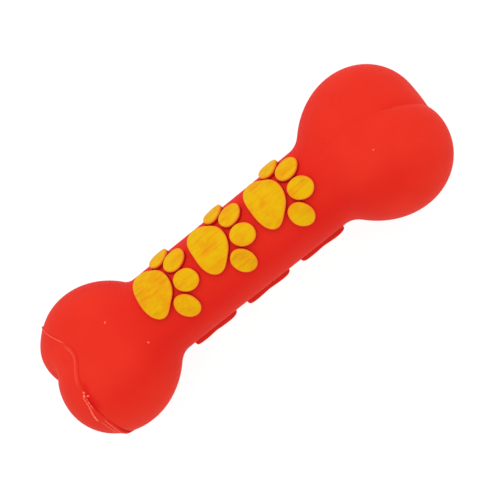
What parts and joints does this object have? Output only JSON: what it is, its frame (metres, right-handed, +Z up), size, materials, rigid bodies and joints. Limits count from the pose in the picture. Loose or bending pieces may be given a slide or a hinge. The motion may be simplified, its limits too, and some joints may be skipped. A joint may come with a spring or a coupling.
{
  "type": "squeaky dog bone",
  "caption": "Hollow soft vinyl dog bone with lobed knuckles, raised paw prints and biscuits on its round shaft and a reed squeaker set in one end; lies on its lobes.",
  "frame": {"origin": "centre of the bounding box, on the plane that the lobes rest on", "axes": "+X along the bone towards the squeaker end, +Z up out of the front paw prints"},
  "size_m": [0.16, 0.0556, 0.0409],
  "materials": {
    "red_vinyl": "satin soft vinyl",
    "yellow_paint": "red vinyl with painted satin tops",
    "white_plastic": "moulded",
    "brass_strip": "rolled"
  },
  "bodies": {
    "toy": {"body_skin": "red_vinyl", "end_cap": "red_vinyl", "seam_weld": "red_vinyl", "front_paw_1_pad": "yellow_paint", "front_paw_1_toe_1": "yellow_paint", "front_paw_1_toe_2": "yellow_paint", "front_paw_1_toe_3": "yellow_paint", "front_paw_1_toe_4": "yellow_paint", "front_paw_2_pad": "yellow_paint", "front_paw_2_toe_1": "yellow_paint", "front_paw_2_toe_2": "yellow_paint", "front_paw_2_toe_3": "yellow_paint", "front_paw_2_toe_4": "yellow_paint", "front_paw_3_pad": "yellow_paint", "front_paw_3_toe_1": "yellow_paint", "front_paw_3_toe_2": "yellow_paint", "front_paw_3_toe_3": "yellow_paint", "front_paw_3_toe_4": "yellow_paint", "back_biscuit_1": "yellow_paint", "back_biscuit_2": "yellow_paint", "back_biscuit_3": "yellow_paint", "squeaker_sleeve": "white_plastic", "squeaker_shallot": "white_plastic", "squeaker_wedge": "white_plastic", "squeaker_cap": "white_plastic"},
    "reed": {"squeaker_reed": "brass_strip"}
  },
  "joints": [
    {"name": "reed_flex", "type": "hinge", "parent": "toy", "child": "reed", "pos_m": [0.06481, 0, 0.01847], "axis": [0, -1, 0], "range_deg": [-2, 4], "stiffness_Nm_per_rad": 0.0002}
  ]
}
